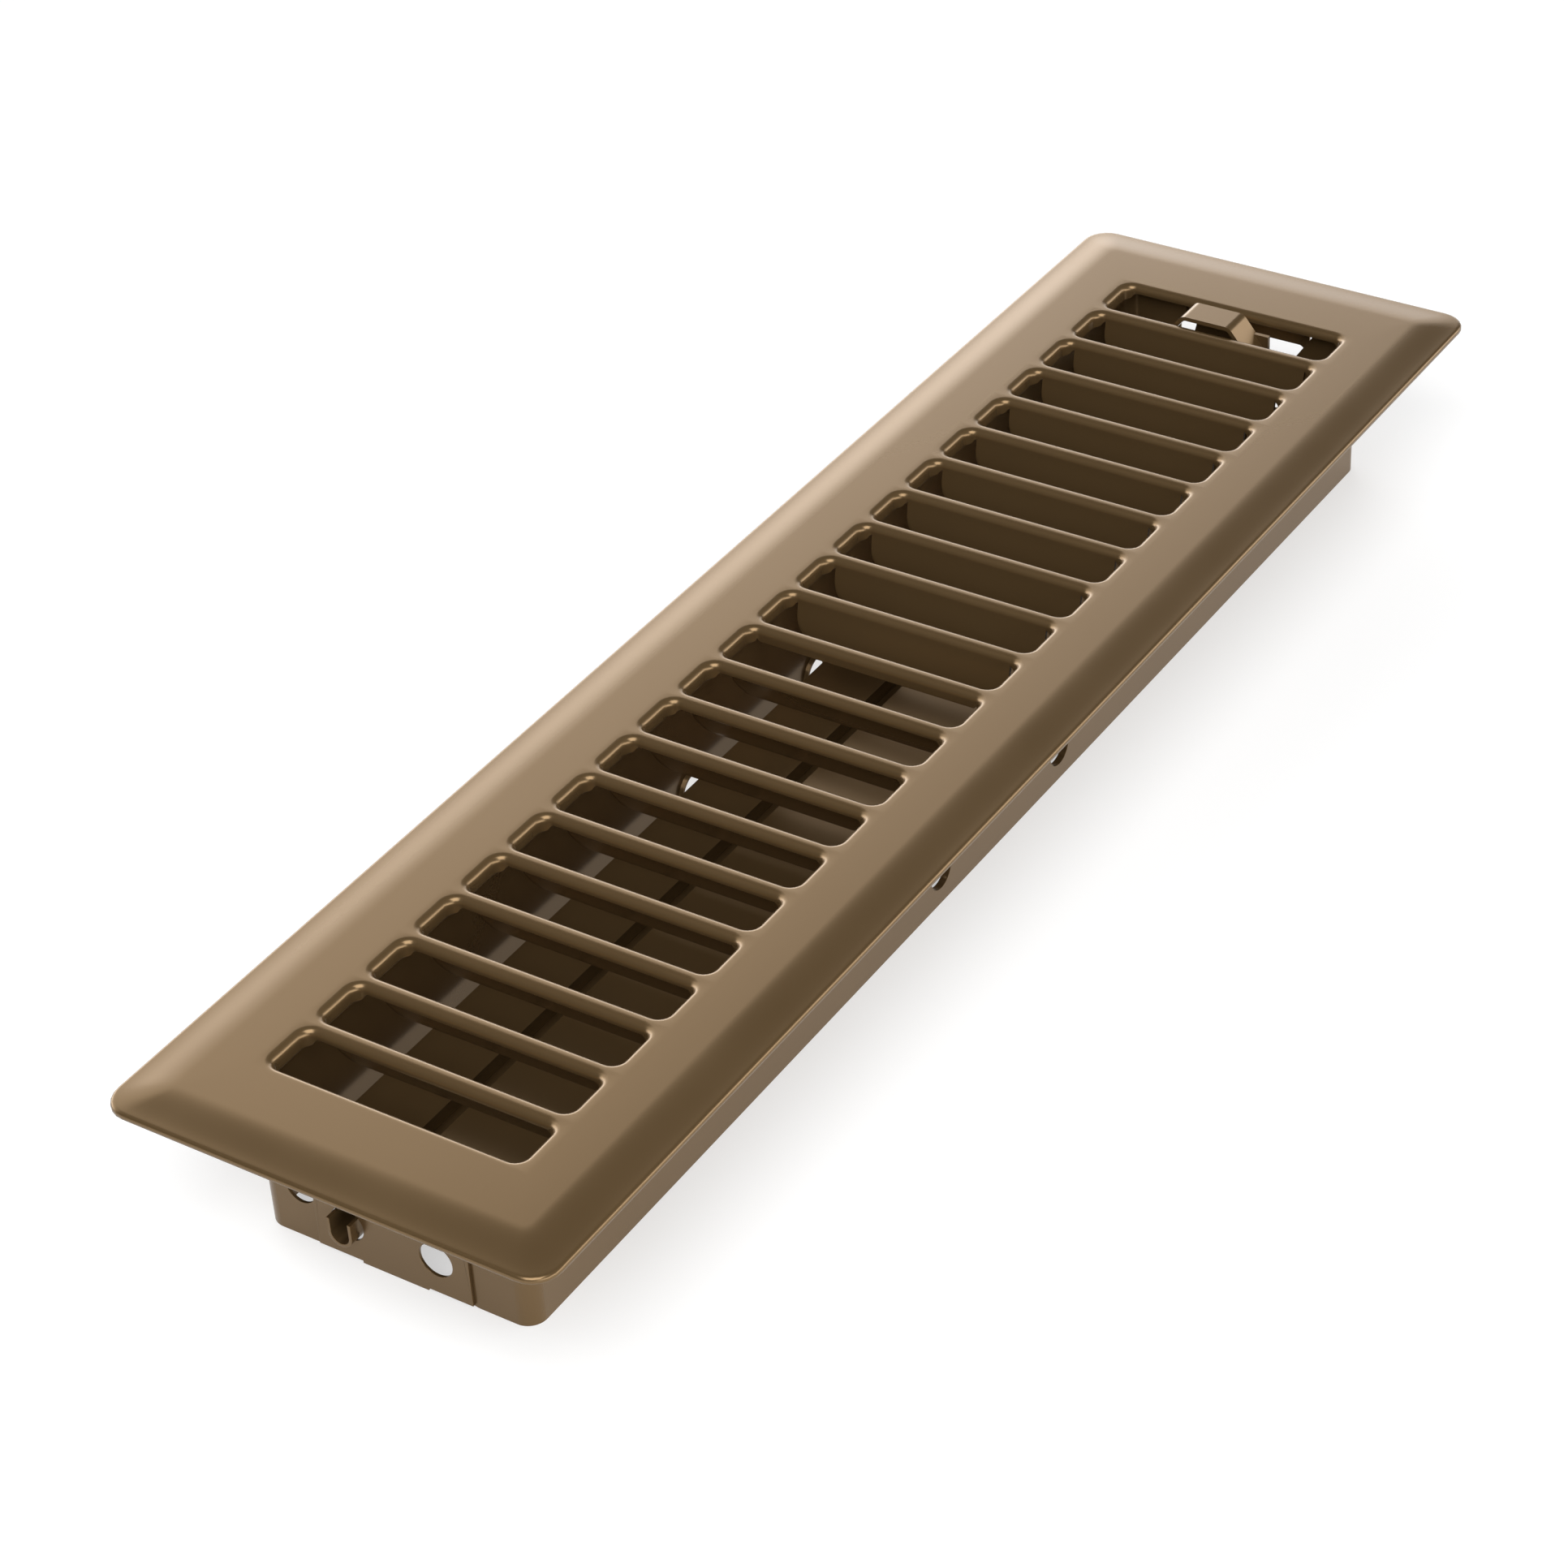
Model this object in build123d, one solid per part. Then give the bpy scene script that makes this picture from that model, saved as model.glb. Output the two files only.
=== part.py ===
from build123d import *
import math
import os

# Floor register: a pressed steel faceplate with 22 louvred slots over a shallow box of folded
# sheet, and a damper blade with its lever that turns in the two ends of the box. Millimetres.
# X runs along the register, towards the end with the lever. Z is up. The origin is in the
# middle of the box's underside; the rim rests on the finished floor, at the height of BOX_DEPTH.

# Faceplate
FACE_LENGTH = 335.5
FACE_WIDTH = 88.2
FACE_RISE = 2.2
FACE_SHEET = 0.7
RIM_HEIGHT = 0.5
RIM_ROUND = 0.7
RIM_CORNER = 5.2
PANEL_CORNER = 1.2
BORDER_WIDTH = 9.2
BORDER_STEPS = 6
BORDER_EASE = 1.3

# Slots, with their edges turned down all round
SLOT_PITCH = 13.5
SLOT_WIDTH = 10.1
SLOT_FIELD_INSET = 2.2
SLOT_END_INSET = 2.4
SLOT_CORNER = 2.0
LIP_RADIUS = 1.5
LIP_STEPS = 3
CORNER_STEPS = 3
LONG_LIP_DROP = 1.9
END_LIP_DROP = 3.2

# Fins of the slots' own sheet; those in the two halves lean opposite ways and slot 1 has none
FIN_END_INSET = 2.1
FIN_REACH = 7.3
FIN_LEAN = 15.0
FIN_CORNER = 4.0
FIN_ROOT = 0.4
FIN_END_GAP = 0.6
MIDDLE_LIP_DROP = 3.0

# Box of folded sheet under the faceplate
BOX_LENGTH = 301.6
BOX_WIDTH = 55.0
BOX_DEPTH = 29.8
BOX_SHEET = 0.6
BOX_CORNER = 3.5
FLAP_LAP = 2.9
FLAP_ROUND = 4.0
FLAP_TAPER_WIDTH = 6.0
FLAP_TAPER_HEIGHT = 8.9
FLAP_HOLE_RADIUS = 2.9
FLAP_HOLE_INSET = 8.7
FLAP_HOLE_HEIGHT = 10.5
SIDE_FLANGE_GAP = 2.4
SIDE_FLANGE_INSET = 9.0
SIDE_HOLE_RADIUS = 3.5
SIDE_HOLE_SPACING = 44.0
SIDE_HOLE_HEIGHT = 6.8
SIDE_HOLE_COLLAR = 0.8

# End plates, the same stamping at both ends
END_WIDTH = 31.4
END_FLANGE = 6.0
END_BEND = 1.2
END_FOOT_WIDTH = 13.4
END_FOOT_DROP = 0.5
WINDOW_WIDTH = 29.0
WINDOW_HEIGHT = 8.5
WINDOW_DROP = 6.8
WINDOW_CORNER = 1.2
WINDOW_MARGIN = 0.3

# Damper blade, with a channel pressed along the line that it turns on
BLADE_SHEET = 0.6
BLADE_SIDE_GAP = 1.9
BLADE_END_GAP = 0.8
BLADE_DROP = 22.3
BLADE_CORNER = 2.0
CHANNEL_WIDTH = 4.9
CHANNEL_DEPTH = 5.4
PIVOT_OFFSET = 9.0
PIVOT_CLEARANCE = 0.08
TRUNNION_PROUD = 2.1

# Lever, welded to the blade and reaching up through the first slot
LEVER_SHEET = 0.9
LEVER_GAP = 3.0
LEVER_BEND = 1.2
STEM_TOP_LEFT = 6.4
STEM_BASE_LEFT = 11.0
STEM_RIGHT = -10.0
STEM_SHOULDER_DROP = 2.0
GRIP_DEPTH = 6.7
GRIP_RISE = 1.6
GRIP_TOP_LEFT = 7.2
GRIP_TOP_RIGHT = -3.8
GRIP_FOOT_LEFT = 12.4
GRIP_FOOT_RIGHT = -9.2
GRIP_FOOT_DROP = 5.0
GRIP_BEND = 2.0
FOOT_LENGTH = 9.0
FOOT_LEFT = 5.6

# Places worked out from the sizes above
FACE_TOP = BOX_DEPTH + FACE_RISE
FACE_UNDER = FACE_TOP - FACE_SHEET
SLOT_COUNT = int((BOX_LENGTH - 2 * SLOT_FIELD_INSET) // SLOT_PITCH)
FIRST_SLOT_X = SLOT_PITCH * (SLOT_COUNT - 1) / 2
SLOT_LENGTH = BOX_WIDTH - 2 * SLOT_END_INSET
FIN_WIDTH = SLOT_LENGTH - 2 * FIN_END_INSET
LAST_FAR_FIN = SLOT_COUNT // 2
FLAP_END = END_WIDTH / 2 - FLAP_LAP
FLAP_HOLE_Y = BOX_WIDTH / 2 - FLAP_HOLE_INSET
SIDE_FLANGE = FACE_WIDTH / 2 - BORDER_WIDTH - SIDE_FLANGE_GAP - BOX_WIDTH / 2
BLADE_TOP = FACE_TOP - BLADE_DROP
BLADE_HALF_WIDTH = BOX_WIDTH / 2 - BOX_SHEET - BLADE_SIDE_GAP
BLADE_HALF_LENGTH = BOX_LENGTH / 2 - BOX_SHEET - BLADE_END_GAP
CHANNEL_HALF = CHANNEL_WIDTH / 2
# The circle through the channel's two top corners and its lowest point, which turns in the hole
TRUNNION_RADIUS = (CHANNEL_DEPTH ** 2 + CHANNEL_HALF ** 2) / (2 * CHANNEL_DEPTH)
PIVOT_Z = BLADE_TOP - CHANNEL_DEPTH + TRUNNION_RADIUS
PIVOT_HOLE_RADIUS = TRUNNION_RADIUS + PIVOT_CLEARANCE
# How far a tool runs past what it cuts
PAST = 5.0


def slot_x(number):
    """Middle of a slot; slot 1 is at the lever's end."""
    return FIRST_SLOT_X - SLOT_PITCH * (number - 1)


def rounded_block(length, width, corner, bottom, top):
    """Upright block with rounded corners between two heights."""
    return extrude(Plane.XY.offset(bottom) * RectangleRounded(length, width, corner), top - bottom)


def face_profile():
    """Points up the faceplate's border, each as (distance in from the rim, height).

    The border leaves the panel level, is steepest halfway out and eases again before the rim.
    """
    round_in = RIM_ROUND * (1 - math.sqrt(0.5))
    rim_top = BOX_DEPTH + RIM_HEIGHT + RIM_ROUND
    points = [(0.0, BOX_DEPTH), (0.0, BOX_DEPTH + RIM_HEIGHT), (round_in, rim_top - round_in)]
    for step in range(BORDER_STEPS + 1):
        way_out = 1 - step / BORDER_STEPS
        inward = BORDER_WIDTH - (BORDER_WIDTH - RIM_ROUND) * way_out
        fall = (1 + BORDER_EASE) * way_out ** 2 - BORDER_EASE * way_out ** 3
        points.append((inward, FACE_TOP - (FACE_TOP - rim_top) * fall))
    return points


def face_section(inward, height, sheet):
    """Outline of the faceplate at one height, or of its hollow where a sheet thickness is given."""
    share = inward / BORDER_WIDTH
    corner = RIM_CORNER + (PANEL_CORNER - RIM_CORNER) * share
    length = FACE_LENGTH - 2 * (inward + sheet)
    width = FACE_WIDTH - 2 * (inward + sheet)
    outline = RectangleRounded(length, width, max(corner - sheet, PANEL_CORNER / 2))
    return Plane.XY.offset(height - sheet) * outline


def slot_section(grow, height):
    """A slot's opening, grown all round, at one height; short flats stand for its round corners."""
    centre_x = SLOT_WIDTH / 2 - SLOT_CORNER
    centre_y = SLOT_LENGTH / 2 - SLOT_CORNER
    out = SLOT_CORNER + grow
    points = []
    for corner, (side_x, side_y) in enumerate([(1, 1), (-1, 1), (-1, -1), (1, -1)]):
        for step in range(CORNER_STEPS + 1):
            turn = math.radians(90 * (corner + step / CORNER_STEPS))
            x = side_x * centre_x + out * math.cos(turn)
            points.append((x, side_y * centre_y + out * math.sin(turn)))
    return Plane.XY.offset(height) * make_face(Polyline(*points, close=True))


def make_slot_tool():
    """What one slot takes out of the sheet: a mouth rounded over all round, and a straight throat."""
    sections = []
    for step in range(LIP_STEPS + 1):
        turn = math.radians(90 * step / LIP_STEPS)
        height = FACE_TOP - LIP_RADIUS * (1 - math.cos(turn))
        sections.append(slot_section(LIP_RADIUS * (1 - math.sin(turn)), height))
    sections.append(slot_section(0, BOX_DEPTH - PAST))
    return loft(sections, ruled=True)


def make_lip_tool():
    """What the turned-down lips of one slot enclose; they reach lower at the slot's two ends."""
    lips = loft([slot_section(FACE_SHEET, FACE_TOP - END_LIP_DROP), slot_section(FACE_SHEET, FACE_UNDER)])
    low = (Align.CENTER, Align.CENTER, Align.MAX)
    middle = Box(SLOT_PITCH, FIN_WIDTH + 2 * FIN_END_GAP, PAST, align=low)
    return lips - Pos(0, 0, FACE_TOP - LONG_LIP_DROP) * middle


def make_hollow(numbers):
    """The space under the faceplate, round the turned-down lips."""
    profile = face_profile()
    sections = [face_section(inward, height, FACE_SHEET) for inward, height in profile]
    sections[0] = face_section(0.0, BOX_DEPTH + FACE_SHEET - PAST, FACE_SHEET)
    lips = make_lip_tool()
    return loft(sections, ruled=True) - [Pos(slot_x(n), 0, 0) * lips for n in numbers]


def make_fin(number, side):
    """A flap bent down from one long side of the slot and leaning into it."""
    centre_x = FIN_REACH - FIN_CORNER
    centre_y = FIN_WIDTH / 2 - FIN_CORNER
    points = [(0, FIN_WIDTH / 2)]
    for step in range(CORNER_STEPS, -1, -1):
        turn = math.radians(90 * step / CORNER_STEPS)
        points.append((centre_x + FIN_CORNER * math.cos(turn), centre_y + FIN_CORNER * math.sin(turn)))
    points += [(x, -y) for x, y in reversed(points)]
    blank = make_face(Polyline(*points, close=True))
    fin = Rot(0, 90 + side * FIN_LEAN, 0) * extrude(blank, FACE_SHEET / 2, both=True)
    root_x = slot_x(number) + side * (SLOT_WIDTH + FACE_SHEET) / 2
    return Pos(root_x, 0, FACE_TOP - LONG_LIP_DROP + FIN_ROOT) * fin


def make_middle_lips():
    """Deeper lips on both sides of the bar where the two halves meet, which carries no fin."""
    bar_x = (slot_x(LAST_FAR_FIN) + slot_x(LAST_FAR_FIN + 1)) / 2
    depth = MIDDLE_LIP_DROP - LONG_LIP_DROP + FIN_ROOT
    lip = Box(FACE_SHEET, FIN_WIDTH, depth, align=(Align.CENTER, Align.CENTER, Align.MIN))
    reach = (SLOT_PITCH - SLOT_WIDTH - FACE_SHEET) / 2
    return [Pos(bar_x + side * reach, 0, FACE_TOP - MIDDLE_LIP_DROP) * lip for side in (-1, 1)]


def make_faceplate():
    """The stamping: sloped border, flat panel, slots with turned-down lips, and the fins."""
    numbers = range(1, SLOT_COUNT + 1)
    plate = loft([face_section(inward, height, 0.0) for inward, height in face_profile()], ruled=True)
    slot = make_slot_tool()
    plate -= [Pos(slot_x(n), 0, 0) * slot for n in numbers]
    plate -= make_hollow(numbers)
    plate += make_middle_lips()
    plate += [make_fin(n, 1 if n <= LAST_FAR_FIN else -1) for n in numbers[1:]]
    return plate


def window_block(margin):
    """What an end plate's window takes out, grown by a margin."""
    middle_z = FACE_TOP - WINDOW_DROP - WINDOW_HEIGHT / 2
    window = RectangleRounded(WINDOW_WIDTH + 2 * margin, WINDOW_HEIGHT + 2 * margin, WINDOW_CORNER + margin)
    return Pos(0, 0, middle_z) * extrude(Plane.YZ * window, PAST, both=True)


def make_flap_taper():
    """What the slanting upper corner of the -X flap leaves out."""
    tip = (FLAP_END, FACE_UNDER - FLAP_TAPER_HEIGHT)
    corner = Polyline(tip, (FLAP_END, FACE_UNDER), (FLAP_END + FLAP_TAPER_WIDTH, FACE_UNDER), close=True)
    return Pos(-BOX_LENGTH / 2, 0, 0) * extrude(Plane.YZ * make_face(corner), 2 * BOX_SHEET, both=True)


def make_left_wall():
    """Long wall on the +Y side, with a flap folded over each end and a flange under the faceplate."""
    inner_width = BOX_WIDTH - 2 * BOX_SHEET
    wall = rounded_block(BOX_LENGTH, BOX_WIDTH, BOX_CORNER, 0, FACE_UNDER)
    wall -= rounded_block(BOX_LENGTH - 2 * BOX_SHEET, inner_width, BOX_CORNER - BOX_SHEET, 0, FACE_UNDER)
    left_half = Box(2 * BOX_LENGTH, BOX_WIDTH, 4 * BOX_DEPTH, align=(Align.CENTER, Align.MIN, Align.CENTER))
    wall &= Pos(0, FLAP_END, 0) * left_half
    free_corners = wall.edges().filter_by(Axis.X).group_by(Axis.Y)[0].group_by(Axis.Z)[0]
    wall = fillet(free_corners, FLAP_ROUND)
    low = (Align.CENTER, Align.MIN, Align.MAX)
    flange = Box(BOX_LENGTH - 2 * SIDE_FLANGE_INSET, SIDE_FLANGE + BOX_SHEET, BOX_SHEET, align=low)
    wall += Pos(0, inner_width / 2, FACE_UNDER) * flange
    wall -= Pos(BOX_LENGTH / 2, 0, 0) * window_block(WINDOW_MARGIN)
    wall -= make_flap_taper()
    flap_hole = Pos(-BOX_LENGTH / 2, FLAP_HOLE_Y, FLAP_HOLE_HEIGHT) * Rot(0, 90, 0)
    wall -= flap_hole * Cylinder(FLAP_HOLE_RADIUS, PAST)
    collar_depth = BOX_SHEET + SIDE_HOLE_COLLAR
    up = (Align.CENTER, Align.CENTER, Align.MIN)
    for side in (-1, 1):
        outside = Pos(side * SIDE_HOLE_SPACING / 2, BOX_WIDTH / 2, SIDE_HOLE_HEIGHT) * Rot(90, 0, 0)
        wall += outside * Cylinder(SIDE_HOLE_RADIUS + BOX_SHEET, collar_depth, align=up)
        wall -= outside * Cylinder(SIDE_HOLE_RADIUS, PAST)
    return wall


def make_right_wall():
    """The same blank turned round for the -Y side."""
    return Rot(0, 0, 180) * make_left_wall()


def make_end_plate():
    """Plate over the flaps at the +X end: a flange on top, the lever's window and two pivot holes."""
    outer_x = BOX_LENGTH / 2 + BOX_SHEET
    line = FilletPolyline((BOX_LENGTH / 2, 0), (BOX_LENGTH / 2, FACE_UNDER),
                          (outer_x + END_FLANGE, FACE_UNDER), radius=END_BEND)
    section = make_face(Plane.XZ * offset(line, BOX_SHEET, side=Side.RIGHT))
    plate = extrude(section, END_WIDTH / 2, both=True)
    for side in (-1, 1):
        corner = Box(4 * BOX_SHEET, END_WIDTH, 2 * END_FOOT_DROP)
        plate -= Pos(outer_x, side * (END_FOOT_WIDTH + END_WIDTH) / 2, 0) * corner
        hole = Rot(0, 90, 0) * Cylinder(PIVOT_HOLE_RADIUS, PAST)
        plate -= Pos(outer_x, side * PIVOT_OFFSET, PIVOT_Z) * hole
    return plate - Pos(outer_x, 0, 0) * window_block(0)


def make_other_end_plate():
    """The same stamping turned round for the -X end."""
    return Rot(0, 0, 180) * make_end_plate()


def channel_section(half_width):
    """Straight sides down from the blade and a round bottom."""
    round_drop = CHANNEL_DEPTH - CHANNEL_HALF
    bottom = Pos(PIVOT_OFFSET, BLADE_TOP - round_drop) * Circle(half_width)
    top = (Align.CENTER, Align.MAX)
    return bottom + Pos(PIVOT_OFFSET, BLADE_TOP) * Rectangle(2 * half_width, round_drop, align=top)


def make_damper_blade():
    """One sheet: the flat blade with its channel, which runs on through the ends as trunnions."""
    flat = Pos(0, BLADE_TOP) * Rectangle(2 * BLADE_HALF_WIDTH, BLADE_SHEET, align=(Align.CENTER, Align.MAX))
    trough = channel_section(CHANNEL_HALF)
    inside = channel_section(CHANNEL_HALF - BLADE_SHEET)
    blade = extrude(Plane.YZ * (flat + trough - inside), BLADE_HALF_LENGTH, both=True)
    uprights = blade.edges().filter_by(Axis.Z)
    corners = [edge for edge in uprights if abs(edge.center().Y) > PIVOT_OFFSET + CHANNEL_WIDTH]
    blade = fillet(corners, BLADE_CORNER)
    trunnion_end = BOX_LENGTH / 2 + BOX_SHEET + TRUNNION_PROUD
    return blade + extrude(Plane.YZ * (trough - inside), trunnion_end, both=True)


def grip_line():
    """Top of the grip from end to end, in the plane across the register."""
    foot_z = FACE_TOP - GRIP_FOOT_DROP
    top_z = FACE_TOP + GRIP_RISE
    return FilletPolyline((GRIP_FOOT_LEFT, foot_z), (GRIP_TOP_LEFT, top_z), (GRIP_TOP_RIGHT, top_z),
                          (GRIP_FOOT_RIGHT, foot_z), radius=GRIP_BEND)


def make_damper_lever():
    """Foot on the blade, stem beside the end wall, and a grip bent over from the stem's top."""
    stem_x = FIRST_SLOT_X + SLOT_WIDTH / 2 - LEVER_GAP
    foot_z = FACE_TOP - GRIP_FOOT_DROP
    shoulder_z = FACE_TOP - STEM_SHOULDER_DROP
    stem_base = BLADE_TOP + LEVER_BEND
    line = grip_line()
    grip = extrude(Plane.YZ * make_face(offset(line, LEVER_SHEET, side=Side.LEFT)), -GRIP_DEPTH)
    arch = make_face(line + Line((GRIP_FOOT_LEFT, foot_z), (GRIP_FOOT_RIGHT, foot_z)))
    head = arch & Pos(0, shoulder_z) * Rectangle(FACE_WIDTH, PAST, align=(Align.CENTER, Align.MIN))
    stem = make_face(Polyline((STEM_RIGHT, stem_base), (STEM_BASE_LEFT, stem_base),
                              (STEM_TOP_LEFT, shoulder_z), (STEM_RIGHT, shoulder_z), close=True))
    upper = Pos(stem_x, 0, 0) * (grip + extrude(Plane.YZ * (head + stem), -LEVER_SHEET))
    bend = FilletPolyline((stem_x, foot_z), (stem_x, BLADE_TOP), (stem_x - FOOT_LENGTH, BLADE_TOP),
                          radius=LEVER_BEND)
    foot = extrude(Plane.XZ * make_face(offset(bend, LEVER_SHEET, side=Side.RIGHT)), STEM_RIGHT - FOOT_LEFT)
    return upper + Pos(0, STEM_RIGHT, 0) * foot


PARTS = {
    "faceplate": make_faceplate,
    "left_wall": make_left_wall,
    "right_wall": make_right_wall,
    "lever_end_plate": make_end_plate,
    "plain_end_plate": make_other_end_plate,
    "damper_blade": make_damper_blade,
    "damper_lever": make_damper_lever,
}

if __name__ == "__main__":
    os.makedirs("parts", exist_ok=True)
    for name, make in PARTS.items():
        export_step(make(), f"parts/{name}.step")
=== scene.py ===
import math
import bpy
import numpy as np
from mathutils import Matrix, Vector


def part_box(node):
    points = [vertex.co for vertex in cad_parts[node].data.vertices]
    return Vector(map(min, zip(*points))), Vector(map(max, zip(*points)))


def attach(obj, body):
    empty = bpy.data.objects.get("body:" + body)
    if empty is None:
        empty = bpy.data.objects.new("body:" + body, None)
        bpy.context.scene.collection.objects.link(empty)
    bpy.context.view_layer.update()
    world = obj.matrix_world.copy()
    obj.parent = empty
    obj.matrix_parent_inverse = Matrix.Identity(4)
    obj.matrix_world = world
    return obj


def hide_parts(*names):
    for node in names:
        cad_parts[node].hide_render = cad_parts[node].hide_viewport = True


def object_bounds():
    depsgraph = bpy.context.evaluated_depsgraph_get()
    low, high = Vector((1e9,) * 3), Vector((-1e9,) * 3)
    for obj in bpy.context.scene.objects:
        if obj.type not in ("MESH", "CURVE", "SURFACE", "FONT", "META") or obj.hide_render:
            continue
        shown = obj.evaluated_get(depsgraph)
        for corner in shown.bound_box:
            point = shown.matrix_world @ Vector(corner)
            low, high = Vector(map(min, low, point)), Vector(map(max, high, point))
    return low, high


bl_info = {
    "name": "Floor register",
    "version": (1, 0, 0),
    "blender": (4, 5, 0),
    "location": "View3D > Sidebar > Register",
    "description": "Dresses a louvred steel floor register: smooth faceplate, folded box, damper and paint",
    "category": "Object",
}

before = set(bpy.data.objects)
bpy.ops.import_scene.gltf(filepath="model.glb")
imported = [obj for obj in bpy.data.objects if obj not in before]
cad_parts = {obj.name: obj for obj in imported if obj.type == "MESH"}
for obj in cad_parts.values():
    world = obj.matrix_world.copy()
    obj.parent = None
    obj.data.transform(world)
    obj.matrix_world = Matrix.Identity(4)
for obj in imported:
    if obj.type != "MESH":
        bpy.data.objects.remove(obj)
CAD_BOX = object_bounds()

MM = 0.001
FACE_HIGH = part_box("faceplate")[1]
FACE_TOP = FACE_HIGH[2]
FACE_RISE = 2.2 * MM
RIM_FOOT = FACE_TOP - FACE_RISE
BOX_BODY = "register_box"
DAMPER_BODY = "damper"
TAU = 2 * math.pi


# Sizes and colours

def length(name, description, millimetres):
    """A length property, given in millimetres."""
    return bpy.props.FloatProperty(name=name, description=description, default=millimetres * MM,
                                   unit="LENGTH", precision=5)


def angle(name, description, degrees):
    """An angle property, given in degrees."""
    return bpy.props.FloatProperty(name=name, description=description, default=math.radians(degrees),
                                   subtype="ANGLE")


def amount(name, description, value):
    """A property that is a plain number from 0 up."""
    return bpy.props.FloatProperty(name=name, description=description, default=value, min=0)


def factor(name, description, value):
    """A property that is a share between 0 and 1."""
    return bpy.props.FloatProperty(name=name, description=description, default=value, min=0, max=1,
                                   subtype="FACTOR")


def tint(name, description, red, green, blue):
    """An opaque colour property, in linear light."""
    return bpy.props.FloatVectorProperty(name=name, description=description, default=(red, green, blue, 1),
                                         size=4, min=0, max=1, subtype="COLOR")


def count(name, description, value, least):
    """A property that counts like parts."""
    return bpy.props.IntProperty(name=name, description=description, default=value, min=least)


class FaceplateSizes(bpy.types.PropertyGroup):
    """Sizes of the pressed faceplate. Its outline comes from the frame."""
    sheet: length("Sheet", "Thickness of the pressed sheet", 0.7)
    slot_count: count("Slots", "Number of slots along the plate", 22, 2)
    far_fins: count("Far fins", "Number of fins on the lever's side of their slot", 10, 0)
    pitch: length("Pitch", "Distance from slot to slot", 13.5)
    slot_width: length("Slot width", "Clear width between the lips", 10.1)
    slot_length: length("Slot length", "Clear length between the end lips", 50.2)
    slot_corner: length("Slot corner", "Radius of the slot's corners in plan", 2.0)
    lip_radius: length("Lip radius", "Outside radius of the turned-down edges", 1.5)
    long_lip: length("Long lip", "How far the lips of the long sides reach down", 1.9)
    end_lip: length("End lip", "How far the lips of the slot's ends reach down", 3.2)
    middle_lip: length("Middle lip", "How far the lips of the bar without fins reach down", 3.0)
    fin_width: length("Fin width", "Width of a fin across the register", 46.0)
    fin_drop: length("Fin drop", "Depth of a fin's free edge below the panel", 8.55)
    fin_lean: angle("Fin lean", "Lean of a fin into its slot", 15)
    fin_corner: length("Fin corner", "Radius of a fin's free corners", 4.0)
    border: length("Border", "Width of the sloped border", 9.2)
    border_ease: amount("Border ease", "How much the border levels out again before the rim", 1.3)
    rim_height: length("Rim height", "Upright part of the rim", 0.5)
    rim_round: length("Rim round", "Outside radius at the top of the rim", 0.7)
    rim_corner: length("Rim corner", "Corner radius of the rim in plan", 5.2)
    panel_corner: length("Panel corner", "Corner radius of the flat panel in plan", 1.2)


class PaintLook(bpy.types.PropertyGroup):
    """Colours and gloss of the baked paint."""
    colour: tint("Paint", "Colour of the paint", 0.170, 0.106, 0.046)
    thin: tint("Thin paint", "Colour where the paint lies thinner", 0.156, 0.096, 0.041)
    metal: factor("Metal flake", "Share of the gloss that the paint tints", 0.60)
    roughness: factor("Roughness", "Roughness of the paint", 0.25)
    peel: factor("Orange peel", "Strength of the paint's fine waviness", 0.05)


class StageLook(bpy.types.PropertyGroup):
    """Floor, lights and camera of the studio."""
    floor_colour: tint("Floor", "Colour of the floor", 0.50, 0.50, 0.50)
    floor_lift: amount("Floor lift", "White added to the floor as it is seen", 0.55)
    ambient: amount("Ambient", "Strength of the even light from all round", 0.12)
    panel: amount("Panel", "Strength of the broad pale panel on the far side", 1.9)
    panel_top: angle("Panel, top", "Elevation at which the panel ends", 45)
    strip: amount("Strip", "Extra strength of the panel near the horizon", 2.8)
    strip_full: angle("Strip, full", "Elevation up to which the strip is full", 18)
    strip_end: angle("Strip, end", "Elevation at which the strip ends", 26)
    side: amount("Side panel", "Strength of the low panel on the right side", 4.0)
    side_end: angle("Side panel, end", "Elevation at which the side panel ends", 34)
    top_power: bpy.props.FloatProperty(name="Top lamp", description="Power of the high lamp", default=13.0,
                                       min=0, unit="POWER")
    focal: bpy.props.FloatProperty(name="Focal length", description="Focal length of the camera",
                                   default=90.86, min=1, unit="CAMERA")


# Surfaces

CLOSE = 1e-7
QUARTER_TURN = np.radians(np.linspace(0, 90, 7))
ROLL_TURN = np.radians(np.linspace(0, 90, 9))
EDGE_TURN = np.radians([45, 90])
LIP_STEPS = np.linspace(0, 1, 7)
SLOPE_STEPS = np.linspace(0, 1, 19)
CORNER_STEPS = np.linspace(0, 1, 7)
WELD_REACH = 0.002 * MM
WORN_EDGE = 0.08 * MM
WORN_EDGE_STEPS = 2
SHARP_FROM = math.radians(50)


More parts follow.
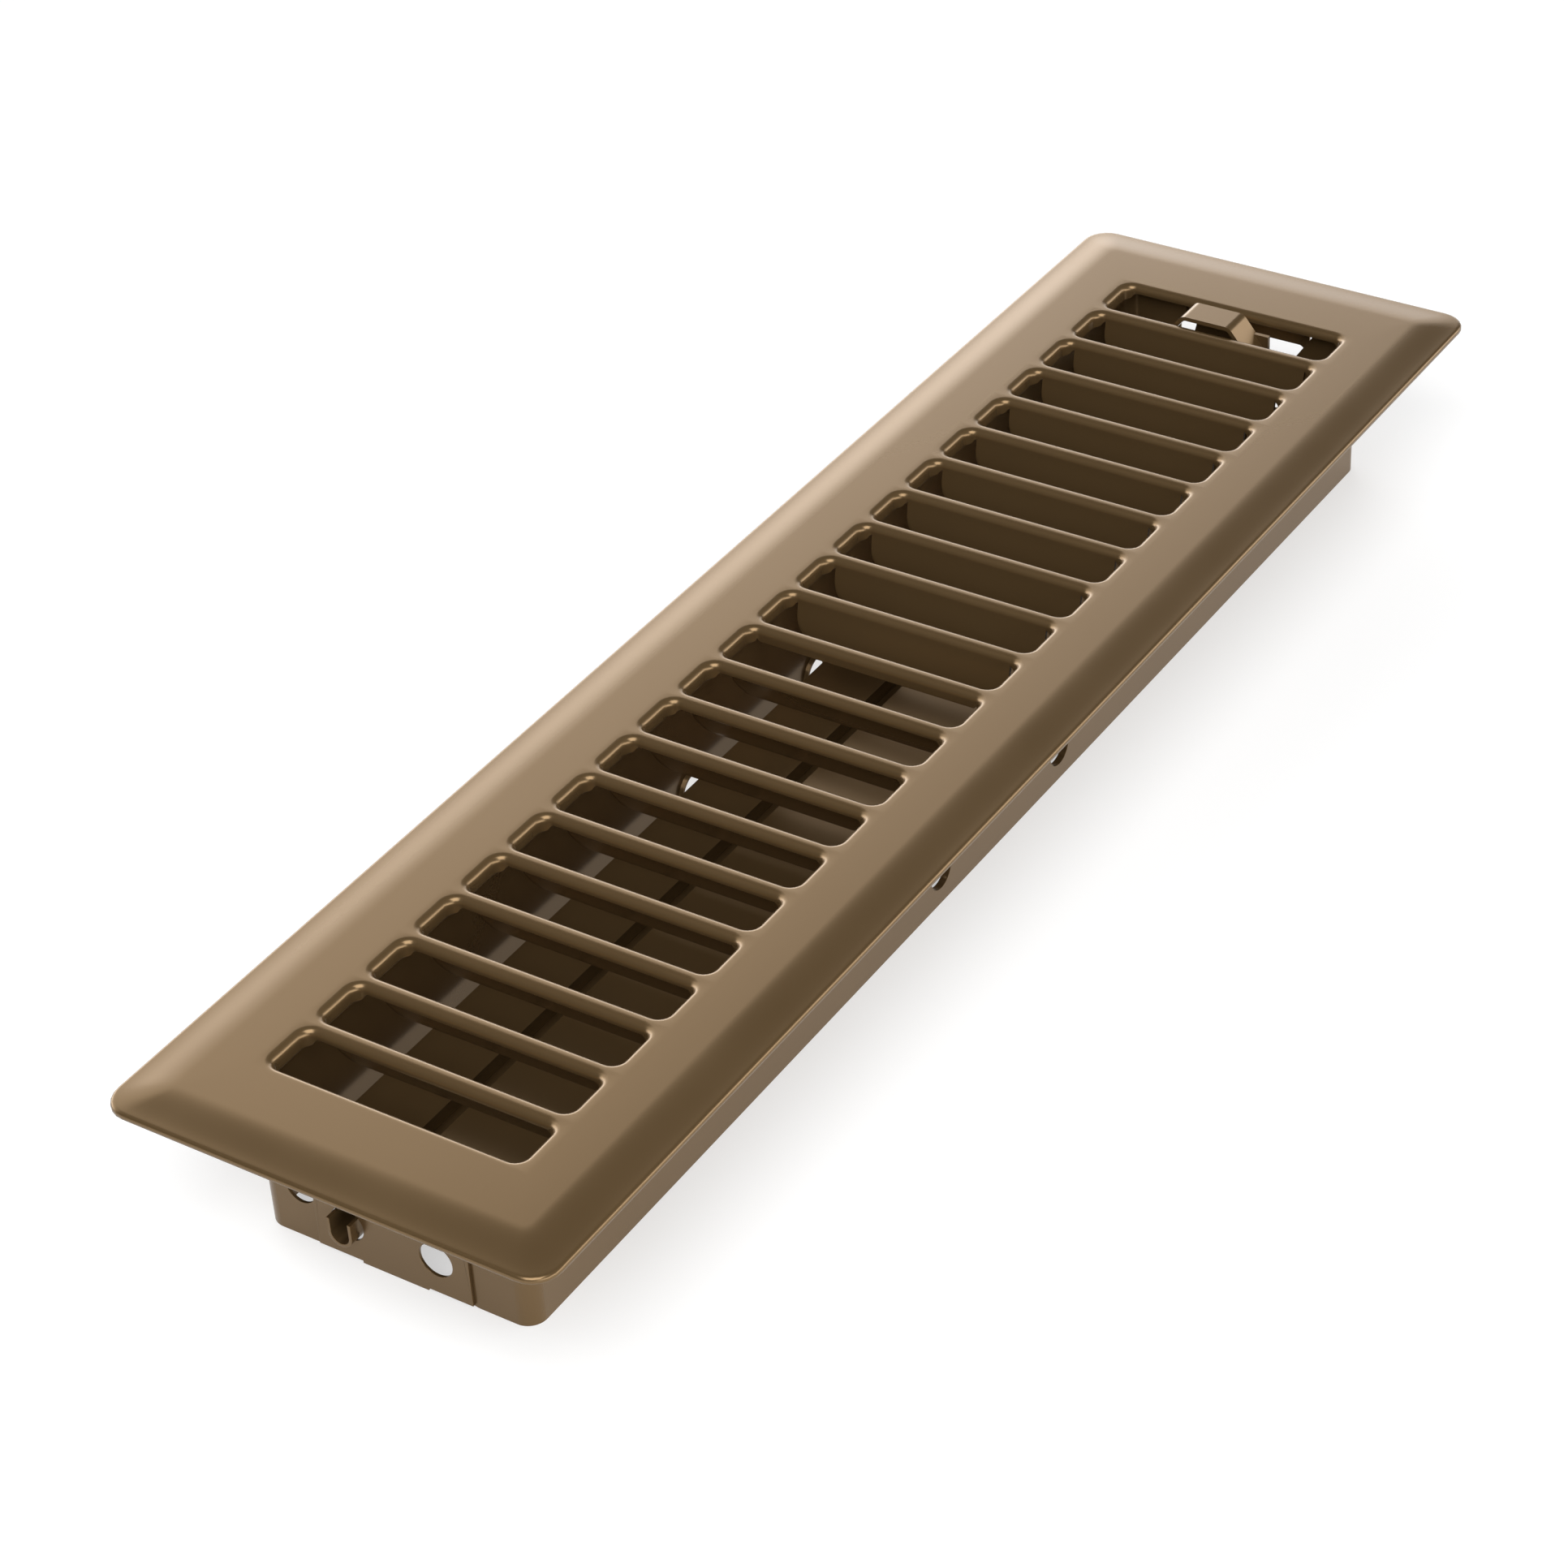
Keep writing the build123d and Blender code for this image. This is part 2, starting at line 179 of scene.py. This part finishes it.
def mesh_from_grids(name, grids):
    """One smooth mesh from several grids of points, each (rows, columns, 3). Every cell becomes a face,
    points that coincide are welded, a cell with one collapsed edge becomes a triangle, and a cell that has
    collapsed to a line is left out."""
    points = []
    quads = []
    start = 0
    for grid in grids:
        rows, columns = grid.shape[:2]
        index = start + np.arange(rows * columns).reshape(rows, columns)
        cells = np.stack([index[:-1, :-1], index[1:, :-1], index[1:, 1:], index[:-1, 1:]], -1)
        quads.append(cells.reshape(-1, 4))
        points.append(grid.reshape(-1, 3))
        start += rows * columns
    points = np.concatenate(points)
    quads = np.concatenate(quads)
    keys = np.round(points / CLOSE).astype(np.int64)
    _, first, back = np.unique(keys, axis=0, return_index=True, return_inverse=True)
    points = points[first]
    quads = back.reshape(-1)[quads]
    same = quads == np.roll(quads, -1, axis=1)
    whole = quads[~same.any(1)]
    folded = (whole[:, 0] == whole[:, 2]) | (whole[:, 1] == whole[:, 3])
    whole = whole[~folded]
    pinched = same.sum(1) == 1
    lost = same[pinched].argmax(1)
    order = (lost[:, None] + 1 + np.arange(3)) % 4
    triangles = np.take_along_axis(quads[pinched], order, axis=1)
    corners = np.concatenate([whole.reshape(-1), triangles.reshape(-1)])
    sizes = np.concatenate([np.full(len(whole), 4), np.full(len(triangles), 3)])
    starts = np.cumsum(sizes) - sizes
    mesh = bpy.data.meshes.new(name)
    mesh.vertices.add(len(points))
    mesh.vertices.foreach_set("co", points.astype(np.float32).reshape(-1))
    mesh.loops.add(len(corners))
    mesh.loops.foreach_set("vertex_index", corners.astype(np.int32))
    mesh.polygons.add(len(sizes))
    mesh.polygons.foreach_set("loop_start", starts.astype(np.int32))
    mesh.polygons.foreach_set("use_smooth", np.ones(len(sizes), dtype=bool))
    mesh.update(calc_edges=True)
    mesh.validate()
    return mesh


def at_height(plan, height):
    """Points of a plan at a height, which is one number or a number for each point."""
    return np.column_stack([plan, np.broadcast_to(height, len(plan))])


def smooth_step(x):
    """0 below 0, 1 above 1, and the smooth S of 3 x^2 - 2 x^3 between."""
    x = np.clip(x, 0, 1)
    return x * x * (3 - 2 * x)


def slot_centre(plate, number):
    """Place of a slot along the register. The slots stand a pitch apart, evenly about the middle, and
    slot 1, the lever's, is at the +X end."""
    return plate.pitch * ((plate.slot_count + 1) / 2 - number)


def slot_loop(plate):
    """Closed loop round a slot's clear opening, anticlockwise from the low end of its +X side: the points,
    and the directions away from the opening. Straight sides and ends meet in quarter circles, and points
    lie closer near the fins' ends. One half is worked out, and the other is the same turned by half a
    turn."""
    half_width = plate.slot_width / 2
    half_length = plate.slot_length / 2
    straight_x = half_width - plate.slot_corner
    straight_y = half_length - plate.slot_corner
    fin = plate.fin_width / 2
    inner_point = 10 * MM
    gap = 0.05 * MM
    fin_round = fin - plate.fin_corner * (1 - np.sin(QUARTER_TURN))
    upper = np.concatenate([[0.0, inner_point], fin_round, [fin + gap]])
    along = np.concatenate([-upper[:0:-1], upper])
    along = along[np.abs(along) <= straight_y]
    along = np.unique(np.concatenate([along, [-straight_y, straight_y]]))
    side = np.column_stack([np.full(len(along), half_width), along])
    side_out = np.tile([1.0, 0.0], (len(along), 1))
    turn = QUARTER_TURN[1:-1]
    corner_out = np.column_stack([np.cos(turn), np.sin(turn)])
    corner = corner_out * plate.slot_corner + [straight_x, straight_y]
    across = np.linspace(1, -1, 5) * straight_x
    end = np.column_stack([across, np.full(len(across), half_length)])
    end_out = np.tile([0.0, 1.0], (len(across), 1))
    mirror = np.array([-1.0, 1.0])
    points = np.concatenate([side, corner, end, corner[::-1] * mirror])
    out = np.concatenate([side_out, corner_out, end_out, corner_out[::-1] * mirror])
    points = np.concatenate([points, -points, points[:1]])
    out = np.concatenate([out, -out, out[:1]])
    return points, out


def lip_depth(plate, points, out, fin_side, middle_side):
    """How far down the sheet reaches at each point of the loop, and which points are on the fin. The long
    lips deepen to the end lips in a smooth S, a lip of the bar without fins is level, and the fin's free
    corners are quarter circles."""
    blend_start = 0.2 * MM
    blend_length = 1.2 * MM
    y = np.abs(points[:, 1])
    fin = plate.fin_width / 2
    straight = np.abs(out[:, 0]) > 1 - CLOSE
    to_end = smooth_step((y - fin - blend_start) / blend_length)
    depth = plate.long_lip + (plate.end_lip - plate.long_lip) * to_end
    on_middle = straight & (out[:, 0] * middle_side > 0) & (y < fin + blend_start)
    depth = np.where(on_middle, plate.middle_lip, depth)
    past = np.clip(y - (fin - plate.fin_corner), 0, plate.fin_corner)
    round_off = plate.fin_corner - np.sqrt(np.maximum(plate.fin_corner ** 2 - past ** 2, 0))
    on_fin = straight & (out[:, 0] * fin_side > 0) & (y <= fin + CLOSE)
    return np.where(on_fin, plate.fin_drop - round_off, depth), on_fin


def cell_edge(plate, points, out):
    """The point of the slot's cell, a rectangle round its lips, that each point of the loop moves out to:
    straight out from the straight sides, and in the direction of the turn from the round corners."""
    margin = 1.2 * MM
    cell_x = plate.pitch / 2
    cell_y = plate.slot_length / 2 + plate.lip_radius + margin
    straight_x = plate.slot_width / 2 - plate.slot_corner
    straight_y = plate.slot_length / 2 - plate.slot_corner
    x, y = np.abs(points).T
    out_x, out_y = np.abs(out).T
    turn = np.arctan2(out_y, out_x)
    slope = np.maximum(np.tan(turn), CLOSE)
    along_x = np.where(out_x < CLOSE, x, straight_x + (cell_x - straight_x) / slope)
    along_y = np.where(out_y < CLOSE, y, straight_y + (cell_y - straight_y) * slope)
    to_side = turn <= TAU / 8
    edge_x = np.where(to_side, cell_x, along_x)
    edge_y = np.where(to_side, along_y, cell_y)
    edge = np.column_stack([edge_x, edge_y]) * np.sign(points)
    edge[np.abs(points) < CLOSE] = 0
    return edge


def slot_surface(plate, number, fin_side, middle_side):
    """Closed sheet round one slot. Each point of the loop carries a profile that starts on the flat panel,
    rolls over a quarter circle, runs down the lip or the fin, round its cut edge, up its back, and out
    under the panel. The side of the fin is 1 for +X, -1 for -X and 0 for none, and so is the side of the
    bar without fins."""
    points, out = slot_loop(plate)
    depth, on_fin = lip_depth(plate, points, out, fin_side, middle_side)
    edge = cell_edge(plate, points, out)
    radius = plate.lip_radius
    inner_radius = radius - plate.sheet
    cut = 0.12 * MM
    bend = 0.8 * MM
    root = plate.long_lip - 0.3 * MM

    def lean(down):
        """How far the sheet leans into the slot at a depth: nothing on a lip, and on a fin a line at the
        fin's angle after a short parabola that starts at its root."""
        past = down - root
        run = np.where(past < bend, np.maximum(past, 0) ** 2 / (2 * bend), past - bend / 2)
        return np.where(on_fin, math.tan(plate.fin_lean) * run, 0.0)

    def row(away, down):
        """The loop moved away from the opening and down from the panel."""
        return at_height(points + out * np.reshape(away, (-1, 1)), FACE_TOP - down)

    straight = [radius + (depth - cut - radius) * t for t in LIP_STEPS]
    rows = [at_height(edge, FACE_TOP)]
    for a in ROLL_TURN:
        rows.append(row(radius * (1 - math.sin(a)), radius * (1 - math.cos(a))))
    for down in straight[1:]:
        rows.append(row(-lean(down), down))
    for a in EDGE_TURN:
        down = depth - cut * (1 - math.sin(a))
        rows.append(row(cut * (1 - math.cos(a)) - lean(down), down))
    for a in EDGE_TURN[::-1]:
        down = depth - cut * (1 - math.sin(a))
        rows.append(row(plate.sheet - cut * (1 - math.cos(a)) - lean(down), down))
    for down in straight[::-1]:
        rows.append(row(plate.sheet - lean(down), down))
    for a in ROLL_TURN[::-2][1:]:
        away = plate.sheet + inner_radius * (1 - math.sin(a))
        rows.append(row(away, plate.sheet + inner_radius * (1 - math.cos(a))))
    rows.append(at_height(edge, FACE_TOP - plate.sheet))
    grid = np.stack(rows)
    grid[..., 0] += slot_centre(plate, number)
    return grid[:, ::-1]


def field_loop(plate):
    """Edge of the field of slots, anticlockwise: it has the points of the slots' cells, and each of its
    four corners is repeated so that the border can turn round it. The second result is the share of that
    turn, from 0 to 1 in a corner and 0 elsewhere. Rounding makes the points of neighbouring cells equal."""
    edge = cell_edge(plate, *slot_loop(plate))
    cell_x, cell_y = edge.max(axis=0)
    half_field = plate.pitch * plate.slot_count / 2
    centres = slot_centre(plate, np.arange(1, plate.slot_count + 1))
    top = np.unique(np.round(edge[np.abs(edge[:, 1] - cell_y) < CLOSE, 0], 9))
    side = np.unique(np.round(edge[np.abs(edge[:, 0] - cell_x) < CLOSE, 1], 9))
    along = np.unique(np.round(centres[:, None] + top, 8))
    along = along[np.diff(along, prepend=-1.0) > CLOSE]
    inner_along = along[1:-1]
    inner_side = side[1:-1]
    right = np.column_stack([np.full(len(inner_side), half_field), inner_side])
    upper = np.column_stack([inner_along[::-1], np.full(len(inner_along), cell_y)])
    left = np.column_stack([np.full(len(inner_side), -half_field), inner_side[::-1]])
    lower = np.column_stack([inner_along, np.full(len(inner_along), -cell_y)])
    corners = np.array([(1, 1), (-1, 1), (-1, -1), (1, -1)]) * [half_field, cell_y]
    points = []
    turns = []
    for run, corner in zip((right, upper, left, lower), corners):
        points += [run, np.tile(corner, (len(CORNER_STEPS), 1))]
        turns += [np.zeros(len(run)), CORNER_STEPS]
    points = np.concatenate(points)
    turns = np.concatenate(turns)
    return np.concatenate([points, points[:1]]), np.concatenate([turns, turns[:1]])


def border_profile(plate):
    """Outside of the border as rows of (distance in from the rim, height), from the flat panel down to
    the upright rim. The slope falls by (1 + ease) t^2 - ease t^3 of its drop, with t from 0 at the panel to
    1 at the rim, and a quarter circle follows."""
    ease = plate.border_ease
    rim_top = RIM_FOOT + plate.rim_height
    drop = FACE_TOP - rim_top - plate.rim_round
    fall = (1 + ease) * SLOPE_STEPS ** 2 - ease * SLOPE_STEPS ** 3
    inward = plate.border - (plate.border - plate.rim_round) * SLOPE_STEPS
    slope = np.column_stack([inward, FACE_TOP - drop * fall])
    turn = QUARTER_TURN[1:]
    turned = np.column_stack([1 - np.sin(turn), np.cos(turn)]) * plate.rim_round + [0, rim_top]
    return np.concatenate([slope, turned])


def border_surface(plate):
    """Closed sheet from the slots' field out to the rim and back under it. Each point of the field's edge
    moves out along rounded rectangles that grow with the profile."""
    loop, turns = field_loop(plate)
    half = np.abs(loop).max(axis=0)
    on_edge = np.abs(np.abs(loop) - half) < CLOSE
    in_corner = on_edge.all(1)[:, None]
    quarter = np.floor(np.arctan2(loop[:, 1], loop[:, 0]) % TAU / (TAU / 4))
    heading = (quarter + turns) * TAU / 4
    direction = np.column_stack([np.cos(heading), np.sin(heading)])
    outer = np.array(FACE_HIGH[:2])
    least_radius = 0.3 * MM
    cut = 0.1 * MM

    def ring(inward, height, back):
        """The loop moved out to a rounded rectangle. It lies a distance in from the rim, and back by a
        further distance for the inner face of the sheet. Its corner radius goes evenly from the rim's to
        the panel's."""
        share = min(max(inward / plate.border, 0), 1)
        radius = plate.rim_corner + (plate.panel_corner - plate.rim_corner) * share - back
        radius = max(radius, least_radius)
        reach = outer - inward - back
        plan = np.where(on_edge, np.sign(loop) * reach, loop * (reach - radius) / half)
        corner = np.sign(loop) * (reach - radius) + direction * radius
        return at_height(np.where(in_corner, corner, plan), height)

    profile = border_profile(plate)
    rows = [at_height(loop, FACE_TOP)]
    for inward, height in profile:
        rows.append(ring(inward, height, 0.0))
    rows.append(ring(0.0, RIM_FOOT + cut, 0.0))
    rows.append(ring(0.0, RIM_FOOT, cut))
    rows.append(ring(0.0, RIM_FOOT, plate.sheet - cut))
    rows.append(ring(0.0, RIM_FOOT + cut, plate.sheet))
    for inward, height in profile[::-1]:
        rows.append(ring(inward, max(height - plate.sheet, RIM_FOOT + cut), plate.sheet))
    rows.append(at_height(loop, FACE_TOP - plate.sheet))
    return np.stack(rows)


def stand_for(piece, node, body):
    """Let a finished piece take a node's place and ride on a body."""
    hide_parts(node)
    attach(piece, body)


class REGISTER_OT_faceplate(bpy.types.Operator):
    """Build the pressed faceplate with its slots, lips and fins as one smooth closed sheet"""
    bl_idname = "register.faceplate"
    bl_label = "Faceplate"

    def execute(self, context):
        plate = context.scene.register_faceplate
        numbers = np.arange(1, plate.slot_count + 1)
        last_far = plate.far_fins + 1
        fin_sides = np.where(numbers <= last_far, 1, -1)
        fin_sides[0] = 0
        middle_sides = np.select([numbers == last_far, numbers == last_far + 1], [-1, 1], 0)
        grids = [slot_surface(plate, *row) for row in zip(numbers, fin_sides, middle_sides)]
        grids.append(border_surface(plate))
        mesh = mesh_from_grids("pressed_faceplate", grids)
        piece = bpy.data.objects.new("pressed_faceplate", mesh)
        context.scene.collection.objects.link(piece)
        stand_for(piece, "faceplate", BOX_BODY)
        return {"FINISHED"}


def smooth_copy(context, node, body):
    """A welded copy of a CAD node with smooth bends and crisp cut edges, which then stands for the node."""
    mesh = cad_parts[node].data.copy()
    mesh.name = node + "_folded"
    mesh.polygons.foreach_set("use_smooth", np.ones(len(mesh.polygons), dtype=bool))
    piece = bpy.data.objects.new(node + "_folded", mesh)
    context.scene.collection.objects.link(piece)
    weld = piece.modifiers.new("Weld", "WELD")
    weld.merge_threshold = WELD_REACH
    bevel = piece.modifiers.new("Worn edges", "BEVEL")
    bevel.width = WORN_EDGE
    bevel.segments = WORN_EDGE_STEPS
    bevel.limit_method = "ANGLE"
    bevel.angle_limit = SHARP_FROM
    bevel.use_clamp_overlap = True
    normals = piece.modifiers.new("Face normals", "WEIGHTED_NORMAL")
    normals.keep_sharp = True
    stand_for(piece, node, body)


class REGISTER_OT_box(bpy.types.Operator):
    """Finish the folded side walls and the end plates of the box"""
    bl_idname = "register.box"
    bl_label = "Folded box"

    def execute(self, context):
        for node in ("left_wall", "right_wall", "lever_end_plate", "plain_end_plate"):
            smooth_copy(context, node, BOX_BODY)
        return {"FINISHED"}


class REGISTER_OT_damper(bpy.types.Operator):
    """Finish the damper blade and its lever"""
    bl_idname = "register.damper"
    bl_label = "Damper"

    def execute(self, context):
        for node in ("damper_blade", "damper_lever"):
            smooth_copy(context, node, DAMPER_BODY)
        return {"FINISHED"}


# Paint

CLOUD_SCALE = 35
CLOUD_DETAIL = 4
PEEL_SCALE = 900
PEEL_DETAIL = 2
PEEL_DEPTH = 0.05 * MM
GLOSS_SPREAD = 0.04


def noise(tree, place, scale, detail):
    """Soft noise on the piece's own coordinates."""
    node = tree.nodes.new("ShaderNodeTexNoise")
    node.inputs["Scale"].default_value = scale
    node.inputs["Detail"].default_value = detail
    tree.links.new(place.outputs["Object"], node.inputs["Vector"])
    return node.outputs["Fac"]


def paint_material(look):
    """Baked satin paint: two close browns in soft clouds, fine orange peel and a little uneven gloss."""
    material = bpy.data.materials.new("baked_brown_paint")
    material.use_nodes = True
    tree = material.node_tree
    shader = tree.nodes["Principled BSDF"]
    shader.inputs["Metallic"].default_value = look.metal
    place = tree.nodes.new("ShaderNodeTexCoord")
    clouds = noise(tree, place, CLOUD_SCALE, CLOUD_DETAIL)
    mix = tree.nodes.new("ShaderNodeMix")
    mix.data_type = "RGBA"
    mix.inputs["A"].default_value = look.thin
    mix.inputs["B"].default_value = look.colour
    tree.links.new(clouds, mix.inputs["Factor"])
    tree.links.new(mix.outputs["Result"], shader.inputs["Base Color"])
    bump = tree.nodes.new("ShaderNodeBump")
    bump.inputs["Strength"].default_value = look.peel
    bump.inputs["Distance"].default_value = PEEL_DEPTH
    tree.links.new(noise(tree, place, PEEL_SCALE, PEEL_DETAIL), bump.inputs["Height"])
    tree.links.new(bump.outputs["Normal"], shader.inputs["Normal"])
    gloss = tree.nodes.new("ShaderNodeMapRange")
    gloss.inputs["To Min"].default_value = look.roughness - GLOSS_SPREAD
    gloss.inputs["To Max"].default_value = look.roughness + GLOSS_SPREAD
    tree.links.new(clouds, gloss.inputs["Value"])
    tree.links.new(gloss.outputs["Result"], shader.inputs["Roughness"])
    return material


class REGISTER_OT_paint(bpy.types.Operator):
    """Give every piece its baked brown paint"""
    bl_idname = "register.paint"
    bl_label = "Paint"

    def execute(self, context):
        material = paint_material(context.scene.register_paint)
        pieces = [o for o in context.scene.objects if o.type == "MESH" and not o.hide_render]
        pieces += list(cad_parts.values())
        for piece in pieces:
            piece.data.materials.clear()
            piece.data.materials.append(material)
        return {"FINISHED"}


# Stage

# Places and sizes are in metres. A pair of fade limits is in cosines of the angle to the panel's axis,
# and PANEL_TOP_FADE and RIGHT_FULL are sines of an elevation.
CAMERA_PLACE = Vector((-509.68, -328.13, 440.02)) * MM
CAMERA_RIGHT = Vector((0.53392, -0.84403, -0.05045))
CAMERA_UP = Vector((0.51582, 0.27787, 0.81038))
SENSOR_WIDTH = 36
NEAR_CLIP = 0.01
FAR_CLIP = 50
FLOOR_REACH = 6.0
LAMP_PLACE = Vector((-0.68, -0.30, 0.95))
LAMP_SIZE = 0.9
UPWARDS = Vector((0.0, 0.0, 1.0))
FAR_SIDE = Vector((0.77, 0.64, 0.0))
FAR_FADE = (0.1, 0.6)
PANEL_EDGE = Vector((-0.117, -0.811, 0.574))
PANEL_EDGE_FADE = (-0.09, 0.0)
PANEL_TOP_FADE = 0.04
STRIP_SIDE = Vector((-0.42, 0.91, 0.0))
STRIP_SIDE_FADE = (-0.1, 0.25)
RIGHT_SIDE = Vector((0.2, -0.98, 0.0))
RIGHT_FADE = (0.3, 0.8)
RIGHT_FULL = 0.2


def maths(tree, operation, *values):
    """A Math node. Each value is a number, or an output that feeds it."""
    node = tree.nodes.new("ShaderNodeMath")
    node.operation = operation
    for socket, value in zip(node.inputs, values):
        if isinstance(value, bpy.types.NodeSocket):
            tree.links.new(value, socket)
        else:
            socket.default_value = value
    return node.outputs[0]


def ramp(tree, value, limits, levels):
    """A smooth S from one level to the other while the value goes from one limit to the other."""
    node = tree.nodes.new("ShaderNodeMapRange")
    node.interpolation_type = "SMOOTHSTEP"
    node.inputs["From Min"].default_value = limits[0]
    node.inputs["From Max"].default_value = limits[1]
    node.inputs["To Min"].default_value = levels[0]
    node.inputs["To Max"].default_value = levels[1]
    tree.links.new(value, node.inputs["Value"])
    return node.outputs["Result"]


def facing(tree, direction, axis):
    """How far a direction points along an axis: 1 along it and 0 square to it."""
    node = tree.nodes.new("ShaderNodeVectorMath")
    node.operation = "DOT_PRODUCT"
    node.inputs[1].default_value = axis
    tree.links.new(direction, node.inputs[0])
    return node.outputs["Value"]


def floor_material(look):
    """Matt pale floor. What the camera, mirrors and glass see of it is lifted to white, and it keeps the
    register's shadow."""
    material = bpy.data.materials.new("pale_floor")
    material.use_nodes = True
    tree = material.node_tree
    tree.nodes.clear()
    matt = tree.nodes.new("ShaderNodeBsdfDiffuse")
    matt.inputs["Color"].default_value = look.floor_colour
    path = tree.nodes.new("ShaderNodeLightPath")
    seen = maths(tree, "MAXIMUM", path.outputs["Is Camera Ray"], path.outputs["Is Glossy Ray"])
    seen = maths(tree, "MAXIMUM", seen, path.outputs["Is Transmission Ray"])
    light = tree.nodes.new("ShaderNodeEmission")
    tree.links.new(maths(tree, "MULTIPLY", seen, look.floor_lift), light.inputs["Strength"])
    both = tree.nodes.new("ShaderNodeAddShader")
    tree.links.new(matt.outputs["BSDF"], both.inputs[0])
    tree.links.new(light.outputs["Emission"], both.inputs[1])
    output = tree.nodes.new("ShaderNodeOutputMaterial")
    tree.links.new(both.outputs["Shader"], output.inputs["Surface"])
    return material


def studio_world(look):
    """Even light all round, a low panel on the right side, and a broad pale one on the far side that the
    paint mirrors. The broad one ends at its top and along a slanting edge on the right, and is brightest
    near the horizon. Heights are given by the sine of their elevation."""
    world = bpy.data.worlds.new("studio")
    world.use_nodes = True
    tree = world.node_tree
    direction = tree.nodes.new("ShaderNodeTexCoord").outputs["Generated"]
    height = facing(tree, direction, UPWARDS)
    top = math.sin(look.panel_top)
    top_limits = (top - PANEL_TOP_FADE, top + PANEL_TOP_FADE)
    strip_limits = (math.sin(look.strip_full), math.sin(look.strip_end))
    right_limits = (RIGHT_FULL, math.sin(look.side_end))
    inside = ramp(tree, facing(tree, direction, PANEL_EDGE), PANEL_EDGE_FADE, (1, 0))
    under = ramp(tree, height, top_limits, (1, 0))
    far = ramp(tree, facing(tree, direction, FAR_SIDE), FAR_FADE, (0, 1))
    panel = maths(tree, "MULTIPLY", maths(tree, "MULTIPLY", inside, under), far)
    low = ramp(tree, height, strip_limits, (1, 0))
    aside = ramp(tree, facing(tree, direction, STRIP_SIDE), STRIP_SIDE_FADE, (0, 1))
    strip = maths(tree, "MULTIPLY", low, aside)
    beside = ramp(tree, facing(tree, direction, RIGHT_SIDE), RIGHT_FADE, (0, look.side))
    below = ramp(tree, height, right_limits, (1, 0))
    level = maths(tree, "MULTIPLY_ADD", strip, look.strip, look.panel)
    level = maths(tree, "MULTIPLY_ADD", panel, level, look.ambient)
    level = maths(tree, "MULTIPLY_ADD", beside, below, level)
    background = tree.nodes["Background"]
    background.inputs["Color"].default_value = (1, 1, 1, 1)
    tree.links.new(level, background.inputs["Strength"])
    return world


def add_floor(scene, look):
    """A flat square under the register, at the height of its lowest point."""
    z = CAD_BOX[0][2]
    corners = [(x * FLOOR_REACH, y * FLOOR_REACH, z) for x, y in ((-1, -1), (1, -1), (1, 1), (-1, 1))]
    mesh = bpy.data.meshes.new("floor")
    mesh.from_pydata(corners, [], [(0, 1, 2, 3)])
    mesh.materials.append(floor_material(look))
    floor = bpy.data.objects.new("floor", mesh)
    scene.collection.objects.link(floor)


def add_lamp(scene, look):
    """A soft square lamp, high on the camera's side and turned towards the register."""
    data = bpy.data.lights.new("top_lamp", "AREA")
    data.shape = "SQUARE"
    data.size = LAMP_SIZE
    data.energy = look.top_power
    lamp = bpy.data.objects.new("top_lamp", data)
    lamp.location = LAMP_PLACE
    lamp.rotation_euler = (-LAMP_PLACE).to_track_quat("-Z", "Y").to_euler()
    scene.collection.objects.link(lamp)


def add_camera(scene, look):
    """The camera at the photograph's place, angle and focal length."""
    camera = bpy.data.objects.new("camera", bpy.data.cameras.new("camera"))
    camera.data.sensor_width = SENSOR_WIDTH
    camera.data.lens = look.focal
    camera.data.clip_start = NEAR_CLIP
    camera.data.clip_end = FAR_CLIP
    backwards = CAMERA_RIGHT.cross(CAMERA_UP)
    turn = Matrix((CAMERA_RIGHT, CAMERA_UP, backwards)).transposed()
    camera.matrix_world = Matrix.Translation(CAMERA_PLACE) @ turn.to_4x4()
    scene.collection.objects.link(camera)
    scene.camera = camera


class REGISTER_OT_stage(bpy.types.Operator):
    """Set up the pale floor, the lights and the camera"""
    bl_idname = "register.stage"
    bl_label = "Studio"

    def execute(self, context):
        scene = context.scene
        look = scene.register_stage
        add_floor(scene, look)
        add_lamp(scene, look)
        scene.world = studio_world(look)
        add_camera(scene, look)
        scene.view_settings.view_transform = "Standard"
        return {"FINISHED"}


# Panel and registration

OPERATORS = (REGISTER_OT_faceplate, REGISTER_OT_box, REGISTER_OT_damper, REGISTER_OT_paint,
             REGISTER_OT_stage)


class REGISTER_PT_panel(bpy.types.Panel):
    """Panel with the register's sizes, colours and steps in order"""
    bl_label = "Floor register"
    bl_idname = "REGISTER_PT_panel"
    bl_space_type = "VIEW_3D"
    bl_region_type = "UI"
    bl_category = "Register"

    def draw(self, context):
        scene = context.scene
        for group in (scene.register_faceplate, scene.register_paint, scene.register_stage):
            for name in group.__annotations__:
                self.layout.prop(group, name)
        for operator in OPERATORS:
            self.layout.operator(operator.bl_idname)


CLASSES = (FaceplateSizes, PaintLook, StageLook) + OPERATORS + (REGISTER_PT_panel,)


def register():
    for cls in CLASSES:
        bpy.utils.register_class(cls)
    bpy.types.Scene.register_faceplate = bpy.props.PointerProperty(type=FaceplateSizes)
    bpy.types.Scene.register_paint = bpy.props.PointerProperty(type=PaintLook)
    bpy.types.Scene.register_stage = bpy.props.PointerProperty(type=StageLook)


def unregister():
    del bpy.types.Scene.register_stage
    del bpy.types.Scene.register_paint
    del bpy.types.Scene.register_faceplate
    for cls in reversed(CLASSES):
        bpy.utils.unregister_class(cls)


def main():
    register()
    bpy.ops.register.faceplate()
    bpy.ops.register.box()
    bpy.ops.register.damper()
    bpy.ops.register.paint()
    bpy.ops.register.stage()


if __name__ == "__main__":
    main()
